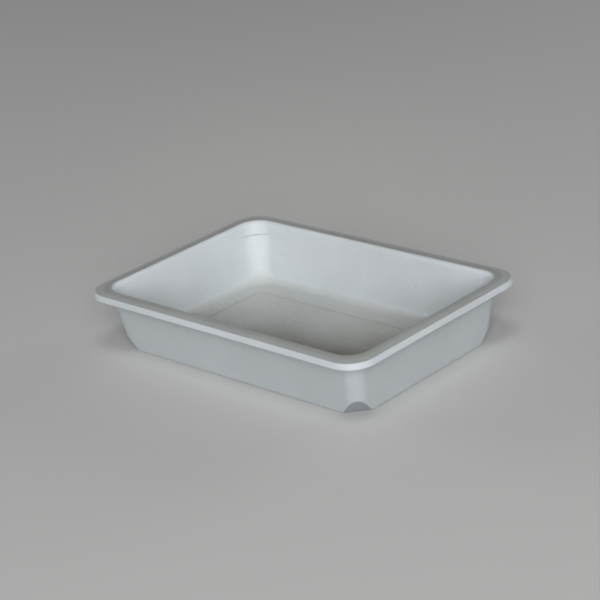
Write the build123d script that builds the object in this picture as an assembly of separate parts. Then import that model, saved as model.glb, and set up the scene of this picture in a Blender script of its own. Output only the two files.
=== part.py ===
from build123d import *
import math
import os

# Developing tray for photographic prints: one moulded plastic shell.
# Millimetres. Origin: centre of the underside. X runs along the long side, Z points up.

# Rim, measured over the hem of its skirt
RIM_LENGTH = 305.0
RIM_WIDTH = 209.4
HEM_CORNER_RADIUS = 22.0
TRAY_HEIGHT = 55.8
HEM_Z = 49.35
SKIRT_WALL = 2.0
HEM_EDGE_RADIUS = 0.5

# The skirt leans in to a shoulder, then two bands rise to the crest of the rim
SHOULDER_INSET = 1.0
SHOULDER_CORNER_RADIUS = 22.5
SHOULDER_DROP = 1.1
SHOULDER_EDGE_RADIUS = 1.0
BREAK_INSET = 6.2
BREAK_CORNER_RADIUS = 21.2
BREAK_DROP = 0.55
CREST_INSET = 9.0
CREST_CORNER_RADIUS = 20.9
CHANNEL_DEPTH = 3.8

# Tapered wall: outside faces, given at the underside and at the height of the hem
WALL = 2.0
BASE_INSET = 20.65
BASE_CORNER_RADIUS = 12.0
NECK_INSET = 13.1
NECK_CORNER_RADIUS = 13.5
RIM_INNER_RADIUS = 4.6
BASE_EDGE_RADIUS = 1.2

# Sloping facet across each lower corner, where the moulding is thicker
FACET_LEG = 16.7
FACET_LEAN = math.degrees(math.atan(0.731))
FACET_THICKNESS = 3.6

# Floor
FLOOR = 2.4
FLOOR_EDGE_RADIUS = 7.5
PANEL_LENGTH = 220.0
PANEL_WIDTH = 118.0
PANEL_CORNER_RADIUS = 4.0
PANEL_DEPTH = 0.6

# Inside corners. Below a stacking ledge they are filled out to a larger radius, which grows upwards
LEDGE_DROP = 11.7
UPPER_CORNER_RADIUS = 17.0
LEDGE_CORNER_RADIUS = 19.5
FLOOR_CORNER_RADIUS = 14.0

TAPER = (BASE_INSET - NECK_INSET) / HEM_Z
WALL_ACROSS = WALL * math.hypot(1.0, TAPER)
SKIRT_FLARE = SHOULDER_INSET / (TRAY_HEIGHT - SHOULDER_DROP - HEM_Z)
CORNERS = [(1, 1), (-1, 1), (-1, -1), (1, -1)]


def rounded(inset, radius, z):
    """Rounded rectangle concentric with the rim, inset from its hem."""
    length = RIM_LENGTH - 2 * inset
    width = RIM_WIDTH - 2 * inset
    return Pos(0, 0, z) * RectangleRounded(length, width, radius)


def ruled_loft(low, high):
    return loft([low.face(), high.face()], ruled=True)


def edges_at(solid, z):
    return solid.edges().filter_by(lambda edge: abs(edge.center().Z - z) < 0.01)


def outer_wall_section(z):
    """Outline of the tapered wall's outside at height z."""
    growth = (NECK_CORNER_RADIUS - BASE_CORNER_RADIUS) * z / HEM_Z
    return rounded(BASE_INSET - TAPER * z, BASE_CORNER_RADIUS + growth, z)


def inner_wall_section(radius, z):
    """Outline of the tapered wall's inside at height z."""
    return rounded(BASE_INSET - TAPER * z + WALL_ACROSS, radius, z)


def facet_block(side_x, side_y, depth):
    """Block outside the sloping facet of one lower corner, moved inwards by depth."""
    corner_x = RIM_LENGTH / 2 - BASE_INSET
    corner_y = RIM_WIDTH / 2 - BASE_INSET
    middle = Vector(side_x * (corner_x - FACET_LEG / 2), side_y * (corner_y - FACET_LEG / 2), 0)
    lean = math.radians(FACET_LEAN)
    outward = Vector(side_x * math.cos(lean), side_y * math.cos(lean), 0) * math.sqrt(0.5)
    normal = outward - Vector(0, 0, math.sin(lean))
    plane = Plane(origin=middle - normal * depth, z_dir=normal)
    return plane * Box(200, 200, 60, align=(Align.CENTER, Align.CENTER, Align.MIN))


def make_shell():
    """Tapered body before it is hollowed."""
    body = ruled_loft(outer_wall_section(0), outer_wall_section(TRAY_HEIGHT - SHOULDER_DROP))
    for side_x, side_y in CORNERS:
        body -= facet_block(side_x, side_y, 0)
    return fillet(edges_at(body, 0), BASE_EDGE_RADIUS)


def make_rim():
    """Rim plate and its hanging skirt."""
    shoulder_z = TRAY_HEIGHT - SHOULDER_DROP
    break_z = TRAY_HEIGHT - BREAK_DROP
    hem = rounded(0, HEM_CORNER_RADIUS, HEM_Z)
    shoulder = rounded(SHOULDER_INSET, SHOULDER_CORNER_RADIUS, shoulder_z)
    crease = rounded(BREAK_INSET, BREAK_CORNER_RADIUS, break_z)
    crest = rounded(CREST_INSET, CREST_CORNER_RADIUS, TRAY_HEIGHT)
    rim = ruled_loft(hem, shoulder) + ruled_loft(shoulder, crease) + ruled_loft(crease, crest)
    rim = fillet(edges_at(rim, shoulder_z), SHOULDER_EDGE_RADIUS)
    rim = fillet(edges_at(rim, HEM_Z), HEM_EDGE_RADIUS)
    roof_inset = SKIRT_WALL + SKIRT_FLARE * CHANNEL_DEPTH
    mouth = rounded(SKIRT_WALL, HEM_CORNER_RADIUS - SKIRT_WALL, HEM_Z)
    roof = rounded(roof_inset, SHOULDER_CORNER_RADIUS - SKIRT_WALL, HEM_Z + CHANNEL_DEPTH)
    return rim - ruled_loft(mouth, roof)


def make_well():
    """Space inside the tray, from the floor to above the rim, with a stacking ledge in each corner."""
    ledge_z = TRAY_HEIGHT - LEDGE_DROP
    lower = ruled_loft(
        inner_wall_section(FLOOR_CORNER_RADIUS, FLOOR),
        inner_wall_section(LEDGE_CORNER_RADIUS, ledge_z),
    )
    lower = fillet(edges_at(lower, FLOOR), FLOOR_EDGE_RADIUS)
    for side_x, side_y in CORNERS:
        lower -= facet_block(side_x, side_y, FACET_THICKNESS)
    upper = ruled_loft(
        inner_wall_section(UPPER_CORNER_RADIUS, ledge_z),
        inner_wall_section(UPPER_CORNER_RADIUS, TRAY_HEIGHT + 5),
    )
    panel = Pos(0, 0, FLOOR - PANEL_DEPTH) * RectangleRounded(
        PANEL_LENGTH, PANEL_WIDTH, PANEL_CORNER_RADIUS
    )
    return lower + upper + extrude(panel, PANEL_DEPTH + 1)


def is_mouth_edge(edge):
    """True for the edges where the well opens through the crest of the rim."""
    middle = edge.center()
    inside = abs(middle.X) < RIM_LENGTH / 2 - CREST_INSET - 1
    inside = inside and abs(middle.Y) < RIM_WIDTH / 2 - CREST_INSET - 1
    return inside and abs(middle.Z - TRAY_HEIGHT) < 0.01


def make_tray():
    tray = make_shell() + make_rim()
    tray -= make_well()
    return fillet(tray.edges().filter_by(is_mouth_edge), RIM_INNER_RADIUS)


os.makedirs("parts", exist_ok=True)
export_step(make_tray(), "parts/tray_body.step")
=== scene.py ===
import math

import bpy
import numpy as np
from mathutils import Matrix, Vector


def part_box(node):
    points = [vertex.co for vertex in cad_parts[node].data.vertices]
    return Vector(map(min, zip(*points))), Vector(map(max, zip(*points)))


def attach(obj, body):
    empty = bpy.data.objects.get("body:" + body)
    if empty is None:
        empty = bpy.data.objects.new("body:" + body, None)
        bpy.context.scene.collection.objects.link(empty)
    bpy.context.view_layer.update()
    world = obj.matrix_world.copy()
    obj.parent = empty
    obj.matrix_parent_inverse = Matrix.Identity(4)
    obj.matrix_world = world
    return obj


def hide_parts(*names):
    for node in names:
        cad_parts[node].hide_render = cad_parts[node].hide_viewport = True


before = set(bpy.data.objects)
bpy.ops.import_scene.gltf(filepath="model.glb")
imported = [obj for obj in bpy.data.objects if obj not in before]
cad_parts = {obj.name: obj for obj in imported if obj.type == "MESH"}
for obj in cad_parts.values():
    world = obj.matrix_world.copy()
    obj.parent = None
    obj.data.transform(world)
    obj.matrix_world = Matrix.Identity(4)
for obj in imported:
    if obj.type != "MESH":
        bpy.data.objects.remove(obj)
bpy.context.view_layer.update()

# A developing tray moulded in one piece of white plastic. Metres throughout, in the CAD frame:
# X along the long side, Z up, origin at the centre of the underside.

MM = 0.001
TRAY = "tray_body"

# Main sizes. The box comes from the frame; the rest are the tray's own design dimensions. Insets
# are measured inwards from the outer edge of the hem, the lower edge of the rim's skirt
BOX_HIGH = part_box(TRAY)[1]
HALF_LENGTH = BOX_HIGH.x
HALF_WIDTH = BOX_HIGH.y
TOP_Z = BOX_HIGH.z
HEM_Z = 49.35 * MM
SKIRT_WALL = 2.0 * MM
SHOULDER_INSET = 1.0 * MM
SHOULDER_Z = TOP_Z - 1.1 * MM
BREAK_INSET = 6.2 * MM
BREAK_Z = TOP_Z - 0.55 * MM
CREST_INSET = 9.0 * MM
CREST_INNER_INSET = 10.15 * MM

# Open channel under the rim, between the skirt and the wall
CHANNEL_DEPTH = 3.8 * MM
CHANNEL_ROOF_Z = HEM_Z + CHANNEL_DEPTH
ROOF_SEAM_INSET = SKIRT_WALL + 9.0 * MM

# Rounding of the edges met on the way from the underside over the rim to the floor
BASE_EDGE_RADIUS = 1.2 * MM
CHANNEL_EDGE_RADIUS = 0.8 * MM
HEM_INNER_RADIUS = 0.5 * MM
HEM_OUTER_RADIUS = 0.45 * MM
SHOULDER_RADIUS = 1.0 * MM
CROWN_RADIUS = 5.0 * MM
MOUTH_RADIUS = 4.6 * MM

# Tapered wall, outside faces
WALL = 2.0 * MM
BASE_INSET = 20.65 * MM
BASE_RADIUS = 12.0 * MM
NECK_INSET = 13.1 * MM
NECK_RADIUS = 13.5 * MM
TAPER = (BASE_INSET - NECK_INSET) / HEM_Z
WALL_ACROSS = WALL * math.hypot(1.0, TAPER)

# Sloping facets of the lower corners, where the moulding is thicker. The leg is what a facet takes
# off each side of the underside, and the run is how far it leans out per unit of height
FACET_LEG = 16.7 * MM
FACET_RUN = 0.731
FACET_SOFTNESS = 0.9 * MM
FACET_THICKNESS = 3.6 * MM
FACET_TOP_OUTSIDE = 17.0 * MM
FACET_TOP_INSIDE = 19.0 * MM

# Floor, with its shallow sunk panel, and the mark of the moulding gate under it
FLOOR_Z = 2.4 * MM
FLOOR_EDGE_RADIUS = 7.5 * MM
PANEL_HALF_LENGTH = 110.0 * MM
PANEL_HALF_WIDTH = 59.0 * MM
PANEL_RADIUS = 4.0 * MM
PANEL_DEPTH = 0.6 * MM
GATE_DEPTH = 0.5 * MM
GATE_STUD_Z = 0.12 * MM

# Slight warp of the moulding as it cooled
LONG_SIDE_BOW = 0.30 * MM
SHORT_SIDE_BOW = 0.20 * MM
FLOOR_CROWN = 0.22 * MM

# Inside corners. Below a stacking ledge they are filled out to another radius, which grows upwards.
# Above it they stand back by a recess that the wall's draft closes again
LEDGE_Z = TOP_Z - 11.7 * MM
LEDGE_LIP = 0.9 * MM
LEDGE_RECESS = 0.6 * MM
LEDGE_DRAFT = 0.05
LEDGE_CHORD = 25.0 * MM
LEDGE_END_SOFTNESS = 0.9 * MM
LEDGE_RADIUS = 19.5 * MM
FLOOR_RADIUS = 14.0 * MM
UPPER_RADIUS = 17.0 * MM

# Corner radius in plan against inset from the hem, over the rim and under it
RIM_INSETS = (0.0, 1.0 * MM, 5.9 * MM, 8.6 * MM, 10.2 * MM)
RIM_RADII = (22.4 * MM, 22.0 * MM, 21.2 * MM, 20.9 * MM, 20.8 * MM)
CHANNEL_INSETS = (2.0 * MM, 2.8 * MM, 11.7 * MM)
CHANNEL_RADII = (20.2 * MM, 19.8 * MM, 14.4 * MM)

# Mesh density: every ring round the tray has the same number of points, and a corner's points lie
# on a fan of rays from a place well inside the corner
CORNER_STEPS = 64
LONG_STEPS = 44
SHORT_STEPS = 24
FAN_X = HALF_LENGTH - 42.0 * MM
FAN_Y = HALF_WIDTH - 42.0 * MM
FAN_REACH = 80.0 * MM
FAN_ANGLES = np.linspace(0.0, math.pi / 2, CORNER_STEPS + 1)
HALVINGS = 44

# Spacing of the rings over the crown of the rim, round the base and floor edges, in the channel
# and up the walls; and how far the rings that follow the wall run on over the flat faces
CROWN_SPACING = 0.7 * MM
EDGE_SPACING = 0.8 * MM
CHANNEL_SPACING = 1.6 * MM
WALL_SPACING = 2.5 * MM
ARC_STEP_DEGREES = 7
UNDERSIDE_INSET = 30.0 * MM
FLOOR_EDGE_REACH = 9.0 * MM


# ---------------------------------------------------------------- plan outlines

def smooth_max(a, b, softness):
    """The larger of a and b, rounded off where they are nearly equal."""
    overlap = np.maximum(softness - np.abs(a - b), 0.0) / softness
    return np.maximum(a, b) + overlap * overlap * softness / 4.0


def smooth_step(value, low, high):
    t = np.clip((value - low) / (high - low), 0.0, 1.0)
    return t * t * (3.0 - 2.0 * t)


def past_rectangle(x, y, half_x, half_y, radius):
    """Distance of (x, y), in the first quadrant, outside a rounded rectangle; negative inside it."""
    past_x, past_y = x - (half_x - radius), y - (half_y - radius)
    outside = np.hypot(np.maximum(past_x, 0), np.maximum(past_y, 0))
    return outside + np.minimum(np.maximum(past_x, past_y), 0) - radius


def corner_points(half_x, half_y, radius, facet, shrink, recess):
    """One corner of a rounded rectangle, found by halving along a fan of rays from (FAN_X, FAN_Y).

    A flat cuts across the corner at the distance facet from the centre, the whole outline is moved
    in by shrink, and the corner is moved out by recess along the chord of the stacking ledge.
    """
    cos, sin = np.cos(FAN_ANGLES), np.sin(FAN_ANGLES)
    near = np.zeros_like(FAN_ANGLES)
    far = np.full_like(FAN_ANGLES, FAN_REACH)
    for _ in range(HALVINGS):
        reach = (near + far) / 2
        x, y = FAN_X + reach * cos, FAN_Y + reach * sin
        distance = past_rectangle(x, y, half_x, half_y, radius)
        if facet is not None:
            distance = smooth_max(distance, (x + y) / math.sqrt(2) - facet, FACET_SOFTNESS)
        if recess > 0:
            across = np.abs((x - HALF_LENGTH) - (y - HALF_WIDTH)) / math.sqrt(2)
            edge = LEDGE_CHORD / 2
            beside = smooth_step(across, edge - LEDGE_END_SOFTNESS, edge + LEDGE_END_SOFTNESS)
            distance = distance - recess * (1 - beside)
        beyond = distance + shrink > 0
        far = np.where(beyond, reach, far)
        near = np.where(beyond, near, reach)
    return np.stack([x, y], 1)


def ring(half_x, half_y, radius, z, facet=None, shrink=0.0, recess=0.0):
    """Closed ring of points at height z, anticlockwise from the right-hand side."""
    corner = corner_points(half_x, half_y, radius, facet, shrink, recess)
    side_x, side_y = half_x - shrink, half_y - shrink
    along_x = np.linspace(FAN_X, -FAN_X, LONG_STEPS + 1)[1:-1]
    along_y = np.linspace(FAN_Y, -FAN_Y, SHORT_STEPS + 1)[1:-1]
    back = np.stack([along_x, np.full_like(along_x, side_y)], 1)
    left = np.stack([np.full_like(along_y, -side_x), along_y], 1)
    mirror_x, mirror_y = np.array([-1, 1]), np.array([1, -1])
    plan = np.vstack([
        corner, back,
        corner[::-1] * mirror_x, left,
        -corner, -back,
        corner[::-1] * mirror_y, -left,
    ])
    return np.column_stack([plan, np.full(len(plan), z)])


def outer_wall_inset(z):
    """How far the outside of the tapered wall stands in from the hem at height z."""
    return BASE_INSET - TAPER * z


def inner_wall_inset(z):
    return outer_wall_inset(z) + WALL_ACROSS


def wall_ring(inset, z, inner):
    """Ring on or near the tapered wall, at a given inset from the hem."""
    face_inset = outer_wall_inset(z)
    radius = BASE_RADIUS + (NECK_RADIUS - BASE_RADIUS) * z / HEM_Z
    foot_x, foot_y = HALF_LENGTH - BASE_INSET, HALF_WIDTH - BASE_INSET
    facet = (foot_x + foot_y - FACET_LEG) / math.sqrt(2) + FACET_RUN * z
    recess = 0.0
    if inner:
        filled = corner_fill(z)
        face_inset = inner_wall_inset(z)
        lower_radius = FLOOR_RADIUS + (LEDGE_RADIUS - FLOOR_RADIUS) * (z - FLOOR_Z) / (LEDGE_Z - FLOOR_Z)
        radius = UPPER_RADIUS + (lower_radius - UPPER_RADIUS) * filled
        facet -= FACET_THICKNESS * math.hypot(1.0, FACET_RUN)
        recess = ledge_recess(z)
    return ring(HALF_LENGTH - face_inset, HALF_WIDTH - face_inset, radius, z,
                facet, inset - face_inset, recess)


def corner_fill(z):
    """0 above the stacking ledge and 1 below its rounded lip."""
    drop = min(max((LEDGE_Z - z) / LEDGE_LIP, 0.0), 1.0)
    return math.sqrt(1 - (1 - drop) ** 2)


def ledge_recess(z):
    """How far the corner stands back above its ledge; the draft closes it upwards."""
    return max(0.0, LEDGE_RECESS - LEDGE_DRAFT * max(z - LEDGE_Z, 0.0)) * (1 - corner_fill(z))


def rim_ring(inset, z):
    radius = float(np.interp(inset, RIM_INSETS, RIM_RADII))
    return ring(HALF_LENGTH - inset, HALF_WIDTH - inset, radius, z)


def channel_ring(inset, z):
    radius = float(np.interp(inset, CHANNEL_INSETS, CHANNEL_RADII))
    return ring(HALF_LENGTH - inset, HALF_WIDTH - inset, radius, z)


def rectangle_ring(half_x, half_y, radius, z):
    """Small rounded rectangle with the same point count as ring(), for the flat faces."""
    arc = np.stack([half_x - radius + radius * np.cos(FAN_ANGLES),
                    half_y - radius + radius * np.sin(FAN_ANGLES)], 1)
    along_x = np.linspace(half_x - radius, radius - half_x, LONG_STEPS + 1)[1:-1]
    along_y = np.linspace(half_y - radius, radius - half_y, SHORT_STEPS + 1)[1:-1]
    back = np.stack([along_x, np.full_like(along_x, half_y)], 1)
    left = np.stack([np.full_like(along_y, -half_x), along_y], 1)
    plan = np.vstack([
        arc, back,
        arc[::-1] * np.array([-1, 1]), left,
        -arc, -back,
        arc[::-1] * np.array([1, -1]), -left,
    ])
    return np.column_stack([plan, np.full(len(plan), z)])


def circle_ring(like, radius, z):
    """Circle whose points lie in the same directions from the centre as those of like."""
    angles = np.arctan2(like[:, 1], like[:, 0])
    return np.column_stack([radius * np.cos(angles), radius * np.sin(angles), np.full(len(like), z)])


def between(first, last, parts):
    """Rings spaced evenly from first to last, leaving both out."""
    return [first + (last - first) * (k / parts) for k in range(1, parts)]


# ---------------------------------------------------------------- cross-section

def profile(corners, spacing, support=0.35 * MM):
    """Points (inset, z) along a polygon of (inset, z, radius) corners, each rounded to its radius."""
    points = [np.array(corners[0][:2])]
    for before, here, after in zip(corners, corners[1:], corners[2:]):
        tip = np.array(here[:2])
        inward = np.array(before[:2]) - tip
        onward = np.array(after[:2]) - tip
        inward /= np.linalg.norm(inward)
        onward /= np.linalg.norm(onward)
        half_angle = math.acos(float(np.clip(inward @ onward, -1, 1))) / 2
        tangent = here[2] / math.tan(half_angle)
        centre = tip + (inward + onward) / np.linalg.norm(inward + onward) * here[2] / math.sin(half_angle)
        start, end = tip + inward * tangent, tip + onward * tangent
        add_line(points, start, spacing, support)
        sweep = math.pi - 2 * half_angle
        steps = max(4, int(math.degrees(sweep) / ARC_STEP_DEGREES))
        for k in range(1, steps + 1):
            share = k / steps
            from_start = (start - centre) * math.sin((1 - share) * sweep)
            from_end = (end - centre) * math.sin(share * sweep)
            points.append(centre + (from_start + from_end) / math.sin(sweep))
    add_line(points, np.array(corners[-1][:2]), spacing, support)
    return points


def add_line(points, end, spacing, support):
    """Straight stretch from the last point to end, with support points near both ends."""
    start = points[-1]
    length = float(np.linalg.norm(end - start))
    if length < 1e-7:
        return
    stops = [support / length, 1 - support / length] if length > 3 * support else []
    count = int(length / spacing)
    inner = [k / (count + 1) for k in range(1, count + 1)]
    stops = sorted(set(stops + [s for s in inner if support < s * length < length - support]))
    points.extend(start + (end - start) * s for s in stops)
    points.append(end)


def outer_rings():
    """From the underside round the base edge, up the outside and under the rim."""
    base = profile([(UNDERSIDE_INSET, 0.0, 0.0),
                    (BASE_INSET, 0.0, BASE_EDGE_RADIUS),
                    (outer_wall_inset(FACET_TOP_OUTSIDE), FACET_TOP_OUTSIDE, 0.0)], EDGE_SPACING)
    upper = profile([tuple(base[-1]) + (0.0,),
                     (outer_wall_inset(CHANNEL_ROOF_Z), CHANNEL_ROOF_Z, CHANNEL_EDGE_RADIUS),
                     (ROOF_SEAM_INSET, CHANNEL_ROOF_Z, 0.0)], WALL_SPACING)
    return [wall_ring(inset, z, False) for inset, z in base + upper[1:]]


def rim_rings():
    """Channel roof, inside of the skirt, hem, outside of the skirt and the rim's top."""
    lean = SHOULDER_INSET / (SHOULDER_Z - HEM_Z)
    channel = profile([(ROOF_SEAM_INSET, CHANNEL_ROOF_Z, 0.0),
                       (SKIRT_WALL + lean * CHANNEL_DEPTH, CHANNEL_ROOF_Z, CHANNEL_EDGE_RADIUS),
                       (SKIRT_WALL, HEM_Z, HEM_INNER_RADIUS),
                       (SKIRT_WALL / 2, HEM_Z, 0.0)], CHANNEL_SPACING)
    crown = profile([(SKIRT_WALL / 2, HEM_Z, 0.0),
                     (0.0, HEM_Z, HEM_OUTER_RADIUS),
                     (SHOULDER_INSET, SHOULDER_Z, SHOULDER_RADIUS),
                     (BREAK_INSET, BREAK_Z, CROWN_RADIUS),
                     (CREST_INSET, TOP_Z, CROWN_RADIUS),
                     (CREST_INNER_INSET, TOP_Z, 0.0)], CROWN_SPACING, 0.15 * MM)
    return ([channel_ring(inset, z) for inset, z in channel[1:-1]]
            + [rim_ring(inset, z) for inset, z in crown])


def ledge_profile():
    """Short way down past the edge of a stacking ledge, whose lip is a quarter of a circle."""
    arc = [1 - math.cos(k * math.pi / 24) for k in range(13)]
    drops = [LEDGE_LIP * share for share in [-0.5, -0.2, -0.05] + arc + [1.5]]
    return [(inner_wall_inset(LEDGE_Z) + TAPER * drop, LEDGE_Z - drop) for drop in drops]


def inner_rings():
    """From the crest down the mouth fillet, the inside wall and the floor fillet."""
    ledge = ledge_profile()
    upper = profile([(CREST_INNER_INSET, TOP_Z, 0.0),
                     (inner_wall_inset(TOP_Z), TOP_Z, MOUTH_RADIUS),
                     (inner_wall_inset(LEDGE_Z), LEDGE_Z, 0.0)], CROWN_SPACING, 0.2 * MM)[1:-1]
    upper = [(inset, z) for inset, z in upper if z > ledge[0][1]]
    facet_top = (inner_wall_inset(FACET_TOP_INSIDE), FACET_TOP_INSIDE, 0.0)
    middle = profile([ledge[-1] + (0.0,), facet_top], WALL_SPACING)[1:]
    floor_edge = inner_wall_inset(FLOOR_Z)
    lower = profile([facet_top,
                     (floor_edge, FLOOR_Z, FLOOR_EDGE_RADIUS),
                     (floor_edge + FLOOR_EDGE_REACH, FLOOR_Z, 0.0)], EDGE_SPACING)[1:]
    return [wall_ring(inset, z, True) for inset, z in upper + ledge + middle + lower]


def floor_rings(edge):
    """Floor from its outer edge, over the soft step of the sunk panel, to the centre."""
    step = [(1.1, 0.0), (0.7, 0.05), (0.4, 0.2), (0.15, 0.4), (-0.1, 0.63), (-0.35, 0.83),
            (-0.65, 0.95), (-1.1, 1.0)]
    panel = [rectangle_ring(PANEL_HALF_LENGTH + out * MM, PANEL_HALF_WIDTH + out * MM,
                            PANEL_RADIUS + out * MM, FLOOR_Z - share * PANEL_DEPTH)
             for out, share in step]
    centre = circle_ring(edge, 3 * MM, FLOOR_Z - PANEL_DEPTH)
    return between(edge, panel[0], 5) + panel + between(panel[-1], centre, 12) + [centre]


def underside_rings(edge):
    """Underside from the gate, a stud in a shallow round dimple, out to the base edge."""
    stud = [(0.4, GATE_STUD_Z), (1.2, GATE_STUD_Z), (1.45, 0.4 * GATE_DEPTH), (1.6, 0.84 * GATE_DEPTH)]
    dimple = [(2.0, GATE_DEPTH), (6.2, GATE_DEPTH), (6.7, 0.84 * GATE_DEPTH), (7.0, 0.4 * GATE_DEPTH),
              (7.15, 0.1 * GATE_DEPTH), (7.4, 0.0)]
    gate = [circle_ring(edge, radius * MM, z) for radius, z in stud + dimple]
    return gate + between(gate[-1], edge, 8)


# ---------------------------------------------------------------- tray mesh

def settle(points):
    """Slight bow of the sides and crown of the floor that a real moulding has, all inwards."""
    x, y, z = points.T
    height = z / TOP_Z
    bow_y = LONG_SIDE_BOW * height * (1 - (x / HALF_LENGTH) ** 2) ** 2
    bow_x = SHORT_SIDE_BOW * height * (1 - (y / HALF_WIDTH) ** 2) ** 2
    on_floor = (z > 1.0 * MM) & (z < FLOOR_Z + 0.01 * MM)
    crown_x = np.clip(1 - (x / PANEL_HALF_LENGTH) ** 2, 0, 1)
    crown_y = np.clip(1 - (y / PANEL_HALF_WIDTH) ** 2, 0, 1)
    return np.column_stack([
        x - bow_x * (x / HALF_LENGTH) ** 3,
        y - bow_y * (y / HALF_WIDTH) ** 3,
        z + np.where(on_floor, FLOOR_CROWN * crown_x * crown_y, 0.0),
    ])


def ring_insets(rings):
    """How far each ring's points stand in from the hem, measured at the middle of the short sides."""
    insets = [HALF_LENGTH - ring_points[:, 0].max() for ring_points in rings]
    ends = [HALF_LENGTH, HALF_LENGTH]
    return np.concatenate([np.repeat(insets, len(rings[0])), ends])


def groove_closeness(points):
    """1 on the edge of the floor's sunk panel, falling to 0 within a millimetre."""
    distance = past_rectangle(np.abs(points[:, 0]), np.abs(points[:, 1]),
                              PANEL_HALF_LENGTH, PANEL_HALF_WIDTH, PANEL_RADIUS)
    return 1 - smooth_step(np.abs(distance + 0.3 * MM), 0.2 * MM, 1.0 * MM)


def add_attribute(mesh, name, values):
    mesh.attributes.new(name, "FLOAT", "POINT").data.foreach_set("value", values.astype(np.float32))


def build_tray():
    """The whole moulding as one closed shell of rings, with the attributes its material reads."""
    outer = outer_rings()
    rim = rim_rings()
    inner = inner_rings()
    rings = underside_rings(outer[0]) + outer + rim + inner
    inside_from = len(rings) - len(inner)
    rings += floor_rings(inner[-1])
    count = len(rings[0])
    first = np.arange(count)
    after = np.roll(first, -1)
    faces = []
    for k in range(len(rings) - 1):
        low, high = k * count, (k + 1) * count
        faces.extend(zip(low + first, low + after, high + after, high + first))
    last = (len(rings) - 1) * count
    gate_end = len(rings) * count
    floor_end = gate_end + 1
    faces.extend(zip(after, first, np.full(count, gate_end)))
    faces.extend(zip(last + first, last + after, np.full(count, floor_end)))
    ends = [[0, 0, rings[0][0, 2]], [0, 0, rings[-1][0, 2]]]
    points = settle(np.vstack(rings + [ends]))
    inside = np.zeros(len(points))
    inside[inside_from * count:] = 1.0
    inside[gate_end] = 0.0
    mesh = bpy.data.meshes.new("tray_shell")
    mesh.from_pydata(points.tolist(), [], [tuple(int(i) for i in face) for face in faces])
    mesh.polygons.foreach_set("use_smooth", [True] * len(mesh.polygons))
    add_attribute(mesh, "inset", ring_insets(rings))
    add_attribute(mesh, "inside", inside)
    add_attribute(mesh, "groove", groove_closeness(points))
    mesh.update()
    tray = bpy.data.objects.new("tray_shell", mesh)
    bpy.context.scene.collection.objects.link(tray)
    return tray


# ---------------------------------------------------------------- shader helpers

def add_node(tree, kind, inputs=None, **settings):
    """New shader node; inputs maps socket names or numbers to values or other sockets."""
    node = tree.nodes.new(kind)
    for name, value in settings.items():
        setattr(node, name, value)
    for key, value in (inputs or {}).items():
        if isinstance(value, bpy.types.NodeSocket):
            tree.links.new(value, node.inputs[key])
        else:
            node.inputs[key].default_value = value
    return node


def maths(tree, operation, a, b):
    return add_node(tree, "ShaderNodeMath", {0: a, 1: b}, operation=operation).outputs[0]


def remap(tree, value, low, high, to_low=0.0, to_high=1.0):
    """Smooth clamped ramp from low to high."""
    inputs = {"Value": value, "From Min": low, "From Max": high, "To Min": to_low, "To Max": to_high}
    return add_node(tree, "ShaderNodeMapRange", inputs, interpolation_type="SMOOTHSTEP").outputs["Result"]


def blend_colour(tree, share, first, second):
    node = add_node(tree, "ShaderNodeMix", data_type="RGBA")
    for socket, value in (("Factor_Float", share), ("A_Color", first), ("B_Color", second)):
        target = next(s for s in node.inputs if s.identifier == socket)
        if isinstance(value, bpy.types.NodeSocket):
            tree.links.new(value, target)
        elif isinstance(value, tuple):
            target.default_value = (*value, 1.0)
        else:
            target.default_value = value
    return next(s for s in node.outputs if s.identifier == "Result_Color")


def product(tree, *factors):
    """Product of sockets and numbers, of which the first is a socket."""
    result = factors[0]
    for factor in factors[1:]:
        result = maths(tree, "MULTIPLY", result, factor)
    return result


def z_part(tree, vector):
    """Height of a place, or how far upwards a normal points."""
    return add_node(tree, "ShaderNodeSeparateXYZ", {0: vector}).outputs["Z"]


def noise(tree, place, size, detail=4.0, roughness=0.55):
    """Fractal noise whose largest features are about size metres across."""
    inputs = {"Vector": place, "Scale": 1.0 / size, "Detail": detail, "Roughness": roughness}
    return add_node(tree, "ShaderNodeTexNoise", inputs).outputs["Fac"]


def streaks(tree, place, angle, length, width, threshold):
    """Thin straight marks, length by width, running at angle to the long side."""
    inputs = {"Vector": place, "Rotation": (0.0, 0.0, angle), "Scale": (1 / length, 1 / width, 1 / length)}
    stretched = add_node(tree, "ShaderNodeMapping", inputs).outputs["Vector"]
    marks = add_node(tree, "ShaderNodeTexNoise", {"Vector": stretched, "Scale": 1.0, "Detail": 1.0})
    return remap(tree, marks.outputs["Fac"], threshold, threshold + 0.05)


def band(tree, value, low, high, soft):
    """One between low and high, falling to zero over soft beyond each."""
    rising = remap(tree, value, low - soft, low)
    falling = remap(tree, value, high, high + soft, 1.0, 0.0)
    return product(tree, rising, falling)


# ---------------------------------------------------------------- tray plastic

CLEAN_WHITE = (0.700, 0.745, 0.775)
WORN_WHITE = (0.655, 0.700, 0.725)
# Floor film: partly a stain, partly painted shade on the floor and the other upward faces low inside.
FLOOR_STAIN_AND_SHADE = (0.550, 0.555, 0.530)
# Painted shadow of the near walls on the floor, partly a stain where solution dried.
POOL_STAIN_AND_WALL_SHADOW = (0.150, 0.140, 0.085)
# Grey for the rim's top and crest, partly a stain and partly painted shade, also used as painted crease
# shade on the stacking ledge.
RIM_STAIN_AND_SHADE = (0.340, 0.338, 0.308)
# Dark grime for drops, scratches and flecks, also used as painted crease shade along the panel's edge.
GRIME_AND_CREASE_SHADE = (0.150, 0.135, 0.105)
# Painted shade for the outside walls and the undercut facets.
OUTER_PAINTED_SHADE = (0.250, 0.270, 0.285)

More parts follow.
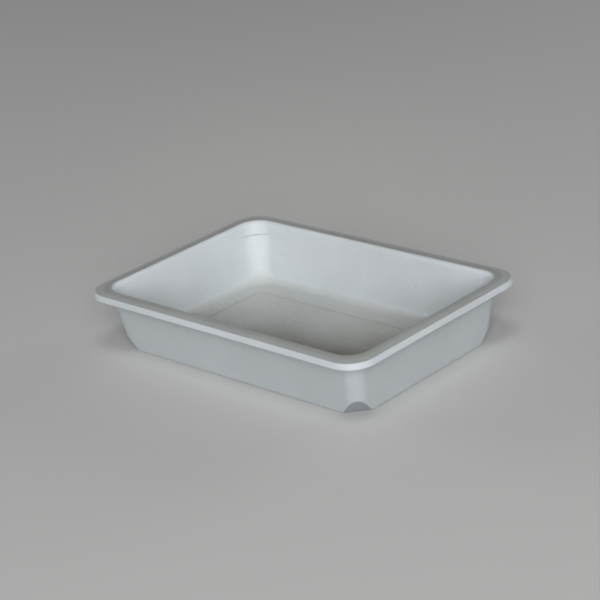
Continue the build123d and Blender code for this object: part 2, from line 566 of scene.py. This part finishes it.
# How much each clouded layer, stain and painted shade alike, covers what is under it, where it is thinnest
# and where it is thickest
FLOOR_COVER = (0.75, 1.00)
POOL_AND_SHADOW_COVER = (0.80, 1.00)
RIM_COVER = (0.47, 0.59)
CREST_COVER = (0.45, 0.60)
# Painted shade on the undercut facets, which face downwards.
FACET_COVER = (0.62, 0.80)

# The same for even layers and small marks; the groove and ledge layers are painted crease shade, the
# outside layer painted shade
GROOVE_COVER = 0.22
# Painted crease shade on the stacking ledge.
LEDGE_COVER = 0.35
OUTER_SHADE_COVER = 0.36
DROP_COVER = 0.16
SCRATCH_COVER = 0.05
FLECK_COVER = 0.55

# Insets between which the rim and its crest carry their darker grey, partly a stain and partly painted
# shade
RIM_FILM = (1.1 * MM, 11.5 * MM)
CREST_FILM = (6.6 * MM, 11.4 * MM)


def read_attribute(tree, name):
    return add_node(tree, "ShaderNodeAttribute", attribute_name=name).outputs["Fac"]


def pool_and_wall_shadow(tree, place):
    """Painted shadow of the near walls, partly a stain where the last of the solution stood and dried:
    darker towards the front and right, most in that corner.
    """
    wander = product(tree, maths(tree, "SUBTRACT", noise(tree, place, 60 * MM, 2.0), 0.5), 14 * MM)
    axes = add_node(tree, "ShaderNodeSeparateXYZ", {0: place})
    across = maths(tree, "ADD", axes.outputs["Y"], product(tree, axes.outputs["X"], -0.2))
    across = maths(tree, "ADD", across, wander)
    along = maths(tree, "ADD", axes.outputs["X"], wander)
    front = remap(tree, across, -30 * MM, 55 * MM, 0.25, 1.0)
    end = remap(tree, along, -10 * MM, 100 * MM, 1.0, 0.40)
    return maths(tree, "SUBTRACT", 1.0, product(tree, front, end))


def rim_zones(tree, place, height, inset):
    """The top of the rim and its crest, with slightly ragged edges, where a darker grey is partly a stain
    and partly painted shade.
    """
    wander = maths(tree, "SUBTRACT", noise(tree, place, 14 * MM), 0.5)
    ragged_inset = maths(tree, "ADD", product(tree, wander, 0.8 * MM), inset)
    on_top = remap(tree, height, TOP_Z - 1.6 * MM, TOP_Z - 1.1 * MM)
    crest = product(tree, on_top, band(tree, ragged_inset, *CREST_FILM, 0.7 * MM))
    rim_top = product(tree, on_top, band(tree, ragged_inset, *RIM_FILM, 0.5 * MM))
    return {"crest": crest, "rim_top": rim_top}


def floor_zones(tree, place, height, upwards, inset, inside):
    """The floor's film, partly a stain and partly painted shade on the upward faces low inside; the pool,
    partly a stain and partly a painted shadow of the near walls; the flat part; and the edge of the sunk
    panel, darkened as painted crease shade.
    """
    low = product(tree, inside, remap(tree, height, FLOOR_Z, FLOOR_Z + 5 * MM, 1.0, 0.0))
    # Upward faces low inside, which take the floor's stain and painted shade.
    upward_inside = product(tree, inside, remap(tree, height, 24 * MM, 30 * MM, 1.0, 0.0))
    upward_inside = product(tree, upward_inside, remap(tree, upwards, 0.25, 0.85))
    floor = product(tree, upward_inside, remap(tree, inset, 24 * MM, 46 * MM, 0.70, 1.0))
    # Painted shadow of the near walls, partly a stain, on the low inside.
    pool_and_shadow = product(tree, low, pool_and_wall_shadow(tree, place))
    groove = product(tree, low, read_attribute(tree, "groove"))
    level = remap(tree, height, FLOOR_Z + 0.3 * MM, FLOOR_Z + 1.2 * MM, 1.0, 0.0)
    flat = product(tree, inside, level)
    return {"low": low, "flat": flat, "floor": floor, "pool_and_shadow": pool_and_shadow, "groove": groove}


def outer_zones(tree, height, upwards, inside):
    """Painted shade on the outside walls, lighter above the hem, and deeper painted shade on the undercut
    facets of its corners.
    """
    below_rim = remap(tree, height, HEM_Z - 0.5 * MM, HEM_Z + 0.5 * MM, 1.0, 0.3)
    # Painted shade on the outside, lighter above the hem.
    outside = product(tree, maths(tree, "SUBTRACT", 1.0, inside), below_rim)
    # Painted shade on the downward-facing facets.
    under = product(tree, outside, remap(tree, upwards, -0.50, -0.35, 1.0, 0.0))
    return {"outside": outside, "under": under}


def ledge_zone(tree, height, upwards, inside):
    # Painted shade in the crease of the stacking ledge, in the rim's grey.
    on_ledge = band(tree, height, LEDGE_Z - 1.4 * MM, LEDGE_Z + 0.8 * MM, 0.3 * MM)
    return product(tree, inside, on_ledge, remap(tree, upwards, 0.20, 0.60))


def tray_zones(tree, place):
    """Masks, from 0 to 1, of the places that take up stain, dirt, wear and painted shade."""
    height = z_part(tree, place)
    upwards = z_part(tree, add_node(tree, "ShaderNodeNewGeometry").outputs["Normal"])
    inset = read_attribute(tree, "inset")
    inside = read_attribute(tree, "inside")
    zones = rim_zones(tree, place, height, inset)
    zones.update(floor_zones(tree, place, height, upwards, inset, inside))
    zones.update(outer_zones(tree, height, upwards, inside))
    zones["ledge"] = ledge_zone(tree, height, upwards, inside)
    return zones


def handling_marks(tree, place, zones):
    """Scratches from tongs and sheets: dense on the floor, faint on the walls."""
    angles = (0.35, 1.15, 1.9, 2.75)
    lengths = (26 * MM, 40 * MM, 18 * MM, 32 * MM)
    marks = [streaks(tree, place, angle, length, 0.55 * MM, 0.66)
             for angle, length in zip(angles, lengths)]
    total = marks[0]
    for mark in marks[1:]:
        total = maths(tree, "MAXIMUM", total, mark)
    patches = remap(tree, noise(tree, place, 55 * MM, 2.0), 0.42, 0.62)
    share = maths(tree, "ADD", product(tree, zones["low"], 0.85), 0.15)
    return product(tree, total, share, patches)


def dried_drops(tree, place):
    """Rings left where drops of solution dried, on about one cell in six."""
    cells = add_node(tree, "ShaderNodeTexVoronoi", {"Vector": place, "Scale": 1 / (13 * MM)})
    chosen = add_node(tree, "ShaderNodeSeparateColor", {0: cells.outputs["Color"]}).outputs["Red"]
    picked = remap(tree, chosen, 0.80, 0.84)
    outline = band(tree, cells.outputs["Distance"], 0.150, 0.165, 0.020)
    return product(tree, picked, outline)


def specks(tree, place):
    """Small dark flecks of dried chemical and dust, on a few cells only."""
    cells = add_node(tree, "ShaderNodeTexVoronoi", {"Vector": place, "Scale": 1 / (4.2 * MM)})
    chosen = add_node(tree, "ShaderNodeSeparateColor", {0: cells.outputs["Color"]}).outputs["Green"]
    picked = remap(tree, chosen, 0.90, 0.92)
    dot = remap(tree, cells.outputs["Distance"], 0.05, 0.09, 1.0, 0.0)
    return product(tree, picked, dot)


def tray_colour(tree, place, zones, marks, drops, flecks):
    """White plastic under its films, painted shade and marks; clouded layers vary with one slow noise."""
    worn = remap(tree, noise(tree, place, 70 * MM, 3.0), 0.35, 0.70)
    colour = blend_colour(tree, worn, CLEAN_WHITE, WORN_WHITE)
    cloud = noise(tree, place, 48 * MM, 3.0, 0.5)
    layers = (
        (zones["floor"], FLOOR_COVER, FLOOR_STAIN_AND_SHADE),
        (zones["pool_and_shadow"], POOL_AND_SHADOW_COVER, POOL_STAIN_AND_WALL_SHADOW),
        # Painted crease shade along the edge of the sunk panel.
        (zones["groove"], GROOVE_COVER, GRIME_AND_CREASE_SHADE),
        (zones["rim_top"], RIM_COVER, RIM_STAIN_AND_SHADE),
        (zones["crest"], CREST_COVER, RIM_STAIN_AND_SHADE),
        (zones["ledge"], LEDGE_COVER, RIM_STAIN_AND_SHADE),
        (zones["outside"], OUTER_SHADE_COVER, OUTER_PAINTED_SHADE),
        (zones["under"], FACET_COVER, OUTER_PAINTED_SHADE),
        (drops, DROP_COVER, GRIME_AND_CREASE_SHADE),
        (marks, SCRATCH_COVER, GRIME_AND_CREASE_SHADE),
        (flecks, FLECK_COVER, GRIME_AND_CREASE_SHADE),
    )
    for mask, cover, stain in layers:
        clouded = isinstance(cover, tuple)
        thickness = remap(tree, cloud, 0.30, 0.70, *cover) if clouded else cover
        colour = blend_colour(tree, product(tree, mask, thickness), colour, stain)
    return colour


def tray_roughness(tree, place, zones, marks, drops):
    """Semi-gloss plastic, smoother on the wetted floor and duller on the rim's top and under marks."""
    total = remap(tree, noise(tree, place, 9 * MM, 5.0), 0.3, 0.7, 0.46, 0.56)
    for mask, change in ((zones["flat"], -0.32), (zones["rim_top"], 0.08), (marks, 0.10), (drops, 0.10)):
        total = maths(tree, "ADD", total, product(tree, mask, change))
    return total


def tray_normal(tree, place, marks):
    """Moulded grain, slow sink and ripple of the faces, and the depth of the scratches."""
    grain = add_node(tree, "ShaderNodeBump", {"Height": noise(tree, place, 0.45 * MM, 2.0),
                                              "Strength": 0.3, "Distance": 0.010 * MM})
    ripple = add_node(tree, "ShaderNodeBump", {"Height": noise(tree, place, 24 * MM, 2.0),
                                               "Strength": 0.6, "Distance": 0.30 * MM,
                                               "Normal": grain.outputs["Normal"]})
    cut = add_node(tree, "ShaderNodeBump", {"Height": marks, "Strength": 0.3, "Distance": 0.02 * MM,
                                            "Normal": ripple.outputs["Normal"]}, invert=True)
    return cut.outputs["Normal"]


def tray_plastic():
    """White moulded plastic, darkened warm grey on the floor and along the crest of the rim partly by
    stain and partly by painted shade, with a painted shadow of the near walls on the floor and painted
    shade on the outside.
    """
    material = bpy.data.materials.new("tray_plastic_aged_and_shaded")
    material.use_nodes = True
    tree = material.node_tree
    surface = tree.nodes["Principled BSDF"]
    place = add_node(tree, "ShaderNodeTexCoord").outputs["Object"]
    zones = tray_zones(tree, place)
    marks = handling_marks(tree, place, zones)
    drops = dried_drops(tree, place)
    flecks = specks(tree, place)
    tree.links.new(tray_colour(tree, place, zones, marks, drops, flecks), surface.inputs["Base Color"])
    tree.links.new(tray_roughness(tree, place, zones, marks, drops), surface.inputs["Roughness"])
    tree.links.new(tray_normal(tree, place, marks), surface.inputs["Normal"])
    surface.inputs["IOR"].default_value = 1.50
    surface.inputs["Subsurface Weight"].default_value = 0.12
    surface.inputs["Subsurface Radius"].default_value = (1.2 * MM, 1.1 * MM, 1.0 * MM)
    surface.inputs["Subsurface Scale"].default_value = 1.0
    return material


# ---------------------------------------------------------------- studio

# Camera: direction it stands in, roll, distance, shift of its aim to the right and up, and its
# sensor and lens in millimetres
VIEW_AZIMUTH = math.radians(45.06)
VIEW_ELEVATION = math.radians(22.6)
VIEW_ROLL = math.radians(-6.41)
VIEW_DISTANCE = 1.657
VIEW_OFFSET = (-0.00486, 0.03593)
SENSOR = 36.0
LENS = 119.0

# Softboxes aimed at the tray: name, azimuth and elevation in degrees, distance, size and watts
SOFTBOXES = (
    ("key", 45, 23, 4.0, 2.2, 117),
    ("top", 45, 68, 2.5, 0.8, 9),
    ("fill_right", 168, 14, 3.0, 1.2, 15),
    ("fill_left", 282, 14, 3.0, 1.2, 15),
)

# The accent, a small light that reaches only the far corner: how far out it aims and its watts
FAR_CORNER_OUT = 0.27
ACCENT_WATTS = 0.022

SKY = (0.95, 0.98, 1.0, 1.0)
SKY_STRENGTH = 0.06
PAPER = (0.68, 0.68, 0.67, 1.0)
PAPER_RADIUS = 5.0
PAPER_SIDES = 96


def towards(azimuth, elevation):
    """Unit direction from the tray; azimuth 0 is the -Y side and 90 degrees the +X side."""
    return Vector((math.sin(azimuth) * math.cos(elevation),
                   -math.cos(azimuth) * math.cos(elevation),
                   math.sin(elevation)))


def make_camera():
    back = towards(VIEW_AZIMUTH, VIEW_ELEVATION)
    level_right = Vector((0, 0, 1)).cross(back).normalized()
    level_up = back.cross(level_right)
    right = level_right * math.cos(VIEW_ROLL) + level_up * math.sin(VIEW_ROLL)
    up = level_up * math.cos(VIEW_ROLL) - level_right * math.sin(VIEW_ROLL)
    aim = right * VIEW_OFFSET[0] + up * VIEW_OFFSET[1]
    data = bpy.data.cameras.new("camera")
    data.sensor_width = SENSOR
    data.lens = LENS
    camera = bpy.data.objects.new("camera", data)
    turn = Matrix((right, up, back)).transposed().to_4x4()
    camera.matrix_world = Matrix.Translation(aim + back * VIEW_DISTANCE) @ turn
    bpy.context.scene.collection.objects.link(camera)
    bpy.context.scene.camera = camera


def add_softbox(name, place, aim, size, watts, spread=180):
    """Square soft light at place, turned towards aim, with a spread in degrees."""
    data = bpy.data.lights.new(name, "AREA")
    data.size = size
    data.energy = watts
    data.spread = math.radians(spread)
    lamp = bpy.data.objects.new(name, data)
    lamp.location = place
    lamp.rotation_euler = (place - aim).to_track_quat("Z", "Y").to_euler()
    bpy.context.scene.collection.objects.link(lamp)


def make_lights():
    """A broad low key, a soft top light, two low fills behind, and a narrow accent on the far corner."""
    for name, azimuth, elevation, distance, size, watts in SOFTBOXES:
        place = towards(math.radians(azimuth), math.radians(elevation)) * distance
        add_softbox(name, place, Vector((0, 0, 0)), size, watts)
    far_corner = towards(math.radians(225), 0.0) * FAR_CORNER_OUT
    accent_place = far_corner + towards(math.radians(45), math.radians(26)) * 3.0
    add_softbox("accent", accent_place, far_corner, 0.22, ACCENT_WATTS, spread=7)


def make_world():
    world = bpy.data.worlds.new("studio")
    world.use_nodes = True
    world.node_tree.nodes["Background"].inputs["Color"].default_value = SKY
    world.node_tree.nodes["Background"].inputs["Strength"].default_value = SKY_STRENGTH
    bpy.context.scene.world = world
    bpy.context.scene.view_settings.view_transform = "Standard"


def studio_paper():
    """Plain matt paper."""
    material = bpy.data.materials.new("studio_paper")
    material.use_nodes = True
    surface = material.node_tree.nodes["Principled BSDF"]
    surface.inputs["Base Color"].default_value = PAPER
    surface.inputs["Roughness"].default_value = 0.9
    surface.inputs["Specular IOR Level"].default_value = 0.1
    return material


def make_studio_floor():
    """Plain pale floor, a wide disc of paper under the tray."""
    turns = [2 * math.pi * k / PAPER_SIDES for k in range(PAPER_SIDES)]
    outline = [(PAPER_RADIUS * math.cos(turn), PAPER_RADIUS * math.sin(turn), 0.0) for turn in turns]
    mesh = bpy.data.meshes.new("studio_floor")
    mesh.from_pydata(outline, [], [tuple(range(PAPER_SIDES))])
    mesh.materials.append(studio_paper())
    floor = bpy.data.objects.new("studio_floor", mesh)
    bpy.context.scene.collection.objects.link(floor)


# ---------------------------------------------------------------- the scene

make_camera()
make_lights()
make_world()
make_studio_floor()

tray = build_tray()
tray.data.materials.append(tray_plastic())
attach(tray, "root")
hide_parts(TRAY)
